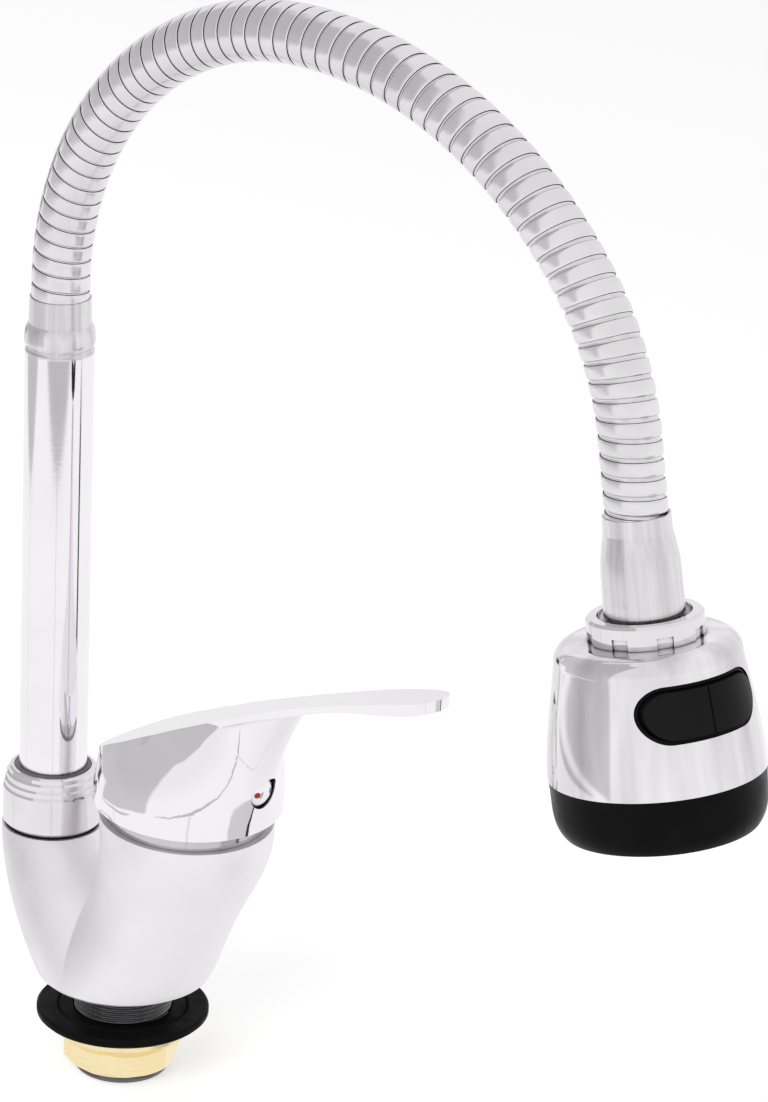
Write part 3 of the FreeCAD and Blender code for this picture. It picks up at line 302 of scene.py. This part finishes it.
def strip_steel():
    """Rolled steel strip: fine lines along the strip, through the mesh's own UV map."""
    material, nodes = new_material("rolled_strip")
    uv = nodes.add("ShaderNodeUVMap", uv_map=STRIP_UV).outputs["UV"]
    scratches = nodes.noise(nodes.stretched(uv, STRIP_SCRATCHES), scale=1.0, detail=3.0)
    cloud = nodes.share(nodes.noise(nodes.place(), scale=60.0, detail=3.0), *PATCHES)
    tint = nodes.blend(cloud, (0.87, 0.845, 0.87), (0.78, 0.76, 0.785))
    polish = nodes.spread(scratches, *SCRATCHES, 0.14, 0.26)
    nodes.finish(tint, polish, Metallic=1.0, Normal=nodes.bump(scratches, 0.14, METAL_SKIN))
    return material


def groove_steel(name, tone, shade, roughness):
    """Steel in the groove between two turns, uneven in tone; made near black it gives the walls' painted
    shadow.
    """
    material, nodes = new_material(name)
    dirt = nodes.share(nodes.noise(nodes.place(), scale=300.0, detail=3.0), *PATCHES)
    nodes.finish(nodes.blend(dirt, grey(tone), grey(shade)), roughness, Metallic=1.0)
    return material


def reflection_streaked(name, colour, shade, roughness, lean=0.0, fineness=REFLECTION_STREAKS_FINE):
    """Metal with streaks along its length: painted reflections in its colour, and a faint bump; lean tips them
    in degrees.
    """
    material, nodes = new_material(name)
    upright = {"Vector": nodes.place(), "Angle": math.radians(lean)}
    place = nodes.add("ShaderNodeVectorRotate", upright, rotation_type="Y_AXIS").outputs["Vector"]
    lines = nodes.stretched(place, (fineness, fineness, REFLECTION_STREAKS_ALONG))
    streak_reflections = nodes.noise(lines, scale=1.0, detail=3.0)
    # Painted reflection streaks in the colour, and painted shade in seams
    tint = nodes.seam_shaded(nodes.blend(nodes.share(streak_reflections, *PATCHES), colour, shade))
    wear = nodes.noise(place, scale=90.0, detail=3.0)
    polish = nodes.spread(wear, *PATCHES, roughness * 0.8, roughness * 1.2)
    nodes.finish(tint, polish, Metallic=1.0, Normal=nodes.bump(streak_reflections, 0.12, METAL_SKIN))
    return material


def moulded(name, colour, shade, roughness, grain, scale=1400.0, gloss=0.5):
    """Plastic or rubber with a fine moulded grain and slightly uneven colour."""
    material, nodes = new_material(name)
    place = nodes.place()
    cloud = nodes.share(nodes.noise(place, scale=70.0, detail=3.0), *PATCHES)
    tint = nodes.blend(cloud, colour, shade)
    wear = nodes.noise(place, scale=220.0, detail=3.0)
    sheen = nodes.spread(wear, *PATCHES, roughness * 0.8, roughness * 1.25)
    skin = nodes.bump(nodes.noise(place, scale, detail=2.0), grain, PLASTIC_SKIN)
    nodes.finish(tint, sheen, Normal=skin, Specular_IOR_Level=gloss)
    return material


def machined_brass():
    """Brass with turning lines round the shank's axis."""
    material, nodes = new_material("machined_brass")
    place = nodes.place()
    split = nodes.add("ShaderNodeSeparateXYZ", {"Vector": place}).outputs
    squares = nodes.math("ADD", nodes.times(split["X"], split["X"]), nodes.times(split["Y"], split["Y"]))
    across = nodes.times(nodes.math("SQRT", squares), TURNING_LINES)
    along = nodes.times(split["Z"], TURNING_LINES)
    rings = nodes.add("ShaderNodeCombineXYZ", {"X": across, "Z": along}).outputs["Vector"]
    turning = nodes.noise(rings, scale=1.0, detail=2.0)
    cloud = nodes.share(nodes.noise(place, scale=45.0, detail=3.0), *PATCHES)
    tint = nodes.blend(cloud, (1.0, 0.85, 0.52), (0.97, 0.79, 0.44))
    polish = nodes.spread(turning, *PATCHES, 0.16, 0.34)
    nodes.finish(tint, polish, Metallic=1.0, Normal=nodes.bump(turning, 0.12, BRASS_SKIN))
    return material


def white_floor():
    """Pale floor that shows as white, and keeps the object's shadow."""
    material, nodes = new_material("pale_floor")
    matt = nodes.add("ShaderNodeBsdfDiffuse", {"Color": grey(FLOOR_TONE)})
    lift = nodes.add("ShaderNodeEmission", {"Color": grey(1.0), "Strength": FLOOR_LIFT})
    dark = nodes.add("ShaderNodeEmission", {"Strength": 0.0})
    seen = nodes.add("ShaderNodeLightPath").outputs["Is Camera Ray"]
    glow = nodes.add("ShaderNodeMixShader", {0: seen, 1: dark.outputs[0], 2: lift.outputs[0]})
    nodes.surface(nodes.add("ShaderNodeAddShader", {0: matt.outputs[0], 1: glow.outputs[0]}))
    return material


# Studio

def window(nodes, value, low, high, soft):
    """1 between low and high, fading to 0 over soft on each side."""
    up = nodes.share(value, low - soft, low + soft)
    down = nodes.spread(value, high - soft, high + soft, 1.0, 0.0)
    return nodes.times(up, down)


def panel(nodes, turn, rise, turns, rises, depth):
    return nodes.times(nodes.times(window(nodes, turn, *turns), window(nodes, rise, *rises)), depth)


def tongue(nodes, turn, rise, middle, half, depth):
    """Panel with a rounded lower end."""
    aside = nodes.math("DIVIDE", nodes.math("ABSOLUTE", nodes.math("SUBTRACT", turn, middle)), half)
    width = nodes.math("SQRT", nodes.share(rise, TONGUE_LOW, TONGUE_FULL))
    inside = nodes.share(nodes.math("SUBTRACT", width, aside), -TONGUE_SIDE, TONGUE_SIDE)
    return nodes.times(nodes.times(inside, nodes.spread(rise, *TONGUE_TOP, 1.0, 0.0)), depth)


def studio_light(nodes):
    """Brightness of the studio in each direction."""
    way = nodes.add("ShaderNodeTexCoord").outputs["Generated"]
    split = nodes.add("ShaderNodeSeparateXYZ", {"Vector": way}).outputs
    angle = nodes.math("ARCTAN2", split["Y"], split["X"])
    turn = nodes.math("FLOORED_MODULO", nodes.times(angle, math.degrees(1)), 360.0)
    rise = split["Z"]
    dark = 0.0
    for turns, rises, depth in PANELS:
        dark = nodes.math("MAXIMUM", dark, panel(nodes, turn, rise, turns, rises, depth))
    for middle, half, depth in TONGUES:
        dark = nodes.math("MAXIMUM", dark, tongue(nodes, turn, rise, middle, half, depth))
    light = nodes.math("SUBTRACT", 1.0, dark)
    for rises, levels in (FLOOR_GLOW, CEILING_GLOW):
        light = nodes.times(light, nodes.spread(rise, *rises, *levels))
    return light


def background(nodes, strength):
    return nodes.add("ShaderNodeBackground", {"Color": grey(1.0), "Strength": strength}).outputs[0]


def studio_world():
    """White surroundings; metal also sees the studio's grey and black panels."""
    world = bpy.data.worlds.new("studio")
    bpy.context.scene.world = world
    nodes = Nodes(world)
    path = nodes.add("ShaderNodeLightPath").outputs
    mirrored = nodes.math("MAXIMUM", path["Is Glossy Ray"], path["Is Transmission Ray"])
    general = background(nodes, GENERAL_LIGHT)
    studio = background(nodes, studio_light(nodes))
    seen = background(nodes, 1.0)
    inner = nodes.add("ShaderNodeMixShader", {0: mirrored, 1: general, 2: studio}).outputs[0]
    outer = nodes.add("ShaderNodeMixShader", {0: path["Is Camera Ray"], 1: inner, 2: seen}).outputs[0]
    nodes.add("ShaderNodeOutputWorld", {"Surface": outer})


# Mesh helpers

def new_mesh(name, points, faces, materials, face_material=None, uv=None):
    """Object from points in millimetres; face_material gives each face's index among the materials."""
    mesh = bpy.data.meshes.new(name)
    mesh.from_pydata([Vector(point) * MM for point in points], [], faces)
    for material in materials:
        mesh.materials.append(material)
    if face_material:
        mesh.polygons.foreach_set("material_index", face_material)
    if uv:
        layer = mesh.uv_layers.new(name=STRIP_UV)
        for loop in mesh.loops:
            layer.data[loop.index].uv = uv[loop.vertex_index]
    mesh.polygons.foreach_set("use_smooth", [True] * len(mesh.polygons))
    mesh.update()
    piece = bpy.data.objects.new(name, mesh)
    bpy.context.scene.collection.objects.link(piece)
    return piece


# Gooseneck

def hose_spans():
    """Start length, length, x, z, heading and radius of each stretch of the centre line."""
    spans = [(-OVERRUN, OVERRUN + LEAD_IN, SPOUT_X, HOSE_START_Z - OVERRUN, math.radians(90), None)]
    for radius, degrees in BENDS:
        start = spans[-1][0] + spans[-1][1]
        spans.append((start, radius * math.radians(degrees), *span_at(spans[-1], start), radius))
    start = spans[-1][0] + spans[-1][1]
    spans.append((start, LEAD_OUT + OVERRUN, *span_at(spans[-1], start), None))
    return spans


def span_at(span, length):
    start, _, x, z, heading, radius = span
    run = length - start
    if radius is None:
        return x + run * math.cos(heading), z + run * math.sin(heading), heading
    ahead = heading - run / radius
    centre_x, centre_z = x + radius * math.sin(heading), z - radius * math.cos(heading)
    return centre_x - radius * math.sin(ahead), centre_z + radius * math.cos(ahead), ahead


SPANS = hose_spans()
HOSE_LENGTH = SPANS[-1][0] + LEAD_OUT
PITCH = HOSE_LENGTH / (SECTIONS * TURNS_PER_SECTION)


def hose_at(length):
    span = [each for each in SPANS if each[0] <= length][-1]
    return span_at(span, length)


def hose_point(length, angle, radius):
    """Point on a ring round the centre line; angle 0 is the outside of the bend."""
    x, z, heading = hose_at(length)
    out = radius * math.cos(angle)
    return x - out * math.sin(heading), radius * math.sin(angle), z + out * math.cos(heading)


def smooth_step(value, low, high):
    share = min(max((value - low) / (high - low), 0.0), 1.0)
    return share * share * (3 - 2 * share)


def strip_profile(length):
    """(offset along the hose, radius) across the strip: half a groove, crowned band, half a groove."""
    opening = smooth_step(length / HOSE_LENGTH, *GROOVE_OPENS)
    half = (GROOVE_START + (GROOVE_END - GROOVE_START) * opening) / 2
    groove = [(0.0, GROOVE_R), (half - GROOVE_CORNER, GROOVE_R), (half, GROOVE_R + EDGE_ROUNDING)]
    edge = [(half + EDGE_LEAN, STRIP_EDGE_R - EDGE_ROUNDING), (half + EDGE_WIDTH, STRIP_EDGE_R)]
    crown = [(half + offset, STRIP_R - drop) for offset, drop in STRIP_CROWN]
    rising = groove + edge + crown
    falling = [(PITCH - offset, radius) for offset, radius in reversed(rising)]
    return rising + [(PITCH / 2, STRIP_R)] + falling


def strip_piece(name, first_turn, last_turn, materials):
    """Part of the helical strip, from one turn to another."""
    rows = len(strip_profile(0.0))
    # Rows on the groove's walls take the painted shadow
    groove = [GROOVE_FLOOR, GROOVE_SHADOWED_WALL, GROOVE_SHADOWED_WALL]
    kind_of_row = groove + [STRIP_BAND] * (rows - 1 - 2 * len(groove)) + groove[::-1]
    points, uv, faces, kinds = [], [], [], []
    steps = (last_turn - first_turn) * STRIP_STEPS
    for step in range(steps + 1):
        turn = first_turn + step / STRIP_STEPS
        angle = 2 * math.pi * turn
        for row, (offset, radius) in enumerate(strip_profile(turn * PITCH)):
            points.append(hose_point(turn * PITCH + offset, angle, radius))
            uv.append((turn, row / (rows - 1)))
    for step in range(steps):
        here, there = step * rows, (step + 1) * rows
        for row in range(rows - 1):
            faces.append((here + row, here + row + 1, there + row + 1, there + row))
            kinds.append(kind_of_row[row])
    return new_mesh(name, points, faces, materials, kinds, uv)


def middle_turn(section):
    return section * TURNS_PER_SECTION + TURNS_PER_SECTION // 2


def make_gooseneck():
    """Strip in eight pieces: the end ones attached to the spout and the neck, and between them one over each
    joint, left unattached.
    """
    floor = groove_steel("groove_floor", 0.82, 0.70, 0.30)
    # Near-black walls: painted contact shadow between the turns
    wall = groove_steel("groove_wall_painted_shadow", 0.05, 0.03, 0.45)
    materials = [strip_steel(), floor, wall]
    start = strip_piece("strip_start", -1, middle_turn(0), materials)
    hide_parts("hose_section_1")
    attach(start, "spout")
    for k in range(SECTIONS - 1):
        first, last = middle_turn(k), middle_turn(k + 1)
        piece = strip_piece("strip_%d" % (k + 1), first, last, materials)
        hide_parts("hose_section_%d" % (k + 2))
        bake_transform(piece)
    end = strip_piece("strip_end", middle_turn(SECTIONS - 1), SECTIONS * TURNS_PER_SECTION + 1, materials)
    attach(end, "neck")


# Shank thread

def make_thread(material):
    """Threaded tube: the ridge climbs one pitch for each turn, and fades out at both ends."""
    rows = int((THREAD_TOP - THREAD_LOW) / THREAD_PITCH * THREAD_ROWS)
    points, faces = [], []
    for step in range(THREAD_STEPS):
        angle = 2 * math.pi * step / THREAD_STEPS
        column = [(THREAD_BORE_R, THREAD_LOW)]
        for row in range(rows + 1):
            height = THREAD_LOW + (THREAD_TOP - THREAD_LOW) * row / rows
            phase = (height / THREAD_PITCH - step / THREAD_STEPS) % 1.0
            ridge = min(1.0, (1 - abs(2 * phase - 1)) * THREAD_CREST)
            fade = min(1.0, row / THREAD_ROWS, (rows - row) / THREAD_ROWS)
            column.append((THREAD_ROOT_R + (THREAD_R - THREAD_ROOT_R) * ridge * fade, height))
        column.append((THREAD_BORE_R, THREAD_TOP))
        points += [(radius * math.cos(angle), radius * math.sin(angle), height) for radius, height in column]
    count = rows + 3
    for step in range(THREAD_STEPS):
        here, there = step * count, (step + 1) % THREAD_STEPS * count
        for index in range(count):
            after = (index + 1) % count
            faces.append((here + index, there + index, there + after, here + after))
    thread = new_mesh("thread", points, faces, [material])
    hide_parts("threaded_shank")
    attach(thread, "base")


# Looks of the solids that stay

def metal_slots():
    chrome = metal("chrome", CHROME_TINT, CHROME_SHADE, 0.035)
    plain_steel = metal("plain_steel", grey(0.62), grey(0.50), 0.25, grain=0.25)
    return {
        "chromed_brass": chrome,
        "chromed_lever": chrome,
        "chromed_tube": metal("tube_chrome", CHROME_TINT, CHROME_SHADE, 0.05),
        # Chromed thread tinted near black: painted shade of its grooves
        "chromed_thread": metal("thread_painted_dark", (0.17, 0.17, 0.175), (0.09, 0.09, 0.095), 0.10),
        "plated_shell": metal("plated_plastic", CHROME_TINT, CHROME_SHADE, 0.09),
        "steel_strip": plain_steel,
        "steel_mesh": plain_steel,
        "yellow_brass": machined_brass(),
    }


def moulded_slots():
    rubber = moulded("black_rubber", grey(0.004), grey(0.007), 0.45, 0.25, 700.0, 0.04)
    return {
        "black_rubber": rubber,
        "hose_rubber": rubber,
        "black_plastic": moulded("black_plastic", (0.003, 0.003, 0.0035), (0.005, 0.005, 0.0055), 0.32, 0.12,
                                 gloss=0.06),
        "black_gloss": moulded("rocker_black", (0.004, 0.004, 0.0045), (0.006, 0.006, 0.0065), 0.22, 0.06,
                               gloss=0.12),
        "grey_plastic": moulded("grey_plastic", (0.24, 0.25, 0.26), (0.20, 0.21, 0.22), 0.4, 0.12),
        "white_plastic": moulded("white_plastic", (0.78, 0.78, 0.76), (0.72, 0.72, 0.70), 0.35, 0.1),
        "soft_nozzles": moulded("soft_nozzles", (0.30, 0.31, 0.32), (0.26, 0.27, 0.28), 0.55, 0.15),
        "ceramic": moulded("ceramic", (0.85, 0.85, 0.83), (0.80, 0.80, 0.78), 0.15, 0.03),
        "red_mark": moulded("red_mark", (0.55, 0.015, 0.015), (0.45, 0.01, 0.01), 0.25, 0.03),
        "blue_mark": moulded("blue_mark", (0.03, 0.08, 0.40), (0.02, 0.06, 0.33), 0.25, 0.03),
    }


def own_looks():
    """Materials of the nodes that look unlike the rest of their slot."""
    turned = metal("turned_collar", SATIN_TINT, (0.76, 0.74, 0.765), 0.05)
    return {
        "mixer_body": metal("plated_casting", (0.98, 0.955, 0.98), (0.96, 0.935, 0.96), 0.55, seam_shade=False),
        # Cover dome painted mid-grey: painted shade under the handle's skirt
        "cover_dome": metal("cover_painted_shade", (0.64, 0.62, 0.645), (0.52, 0.505, 0.525), 0.10),
        # Ferrules and spray head carry streaks of painted reflection; the head's darker shade paints its grey
        # reflected band
        "lower_ferrule": reflection_streaked("satin_ferrule_painted_reflections", SATIN_TINT, (0.64, 0.62, 0.645), 0.22),
        "upper_ferrule": reflection_streaked("satin_swivel_end_painted_reflections", SATIN_TINT, (0.66, 0.64, 0.665), 0.22, HEAD_LEAN),
        "head_shell": reflection_streaked("plated_bell_painted_reflections", (0.94, 0.915, 0.945), (0.62, 0.60, 0.625), 0.07, HEAD_LEAN,
                               REFLECTION_STREAKS_BROAD),
        "spout_collar": turned,
        "ring_nut": turned,
        "collar_o_ring": moulded("grey_rubber", grey(0.10), grey(0.07), 0.30, 0.15, 700.0),
    }


def dress(frame, by_slot):
    by_node = own_looks()
    for entry in frame["record"]["subparts"]:
        for slot in frame["nodes"][entry["node"]].material_slots:
            slot.material = by_node.get(entry["node"], by_slot[entry["material_slot"]])


def make_floor(lowest):
    corners = [2 * math.pi * k / FLOOR_CORNERS for k in range(FLOOR_CORNERS)]
    rim = [(FLOOR_R * math.cos(angle), FLOOR_R * math.sin(angle), lowest - FLOOR_GAP) for angle in corners]
    floor = new_mesh("floor", rim, [tuple(range(FLOOR_CORNERS))], [white_floor()])
    floor.visible_glossy = False


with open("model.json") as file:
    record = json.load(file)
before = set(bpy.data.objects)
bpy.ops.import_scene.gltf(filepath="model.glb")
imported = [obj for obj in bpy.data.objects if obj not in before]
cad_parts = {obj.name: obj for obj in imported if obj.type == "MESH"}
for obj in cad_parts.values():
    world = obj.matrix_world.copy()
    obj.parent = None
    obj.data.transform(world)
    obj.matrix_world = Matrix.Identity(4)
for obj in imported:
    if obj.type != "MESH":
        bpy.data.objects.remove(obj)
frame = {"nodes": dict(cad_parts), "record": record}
cad_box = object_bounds()
bpy.context.scene.view_settings.view_transform = "Standard"
make_camera()
studio_world()
add_lamp("key", KEY_PLACE, KEY_POWER)
add_lamp("fill", FILL_PLACE, FILL_POWER)
looks = {**metal_slots(), **moulded_slots()}
dress(frame, looks)
make_gooseneck()
make_thread(looks["chromed_thread"])
make_floor(cad_box[0].z / MM)
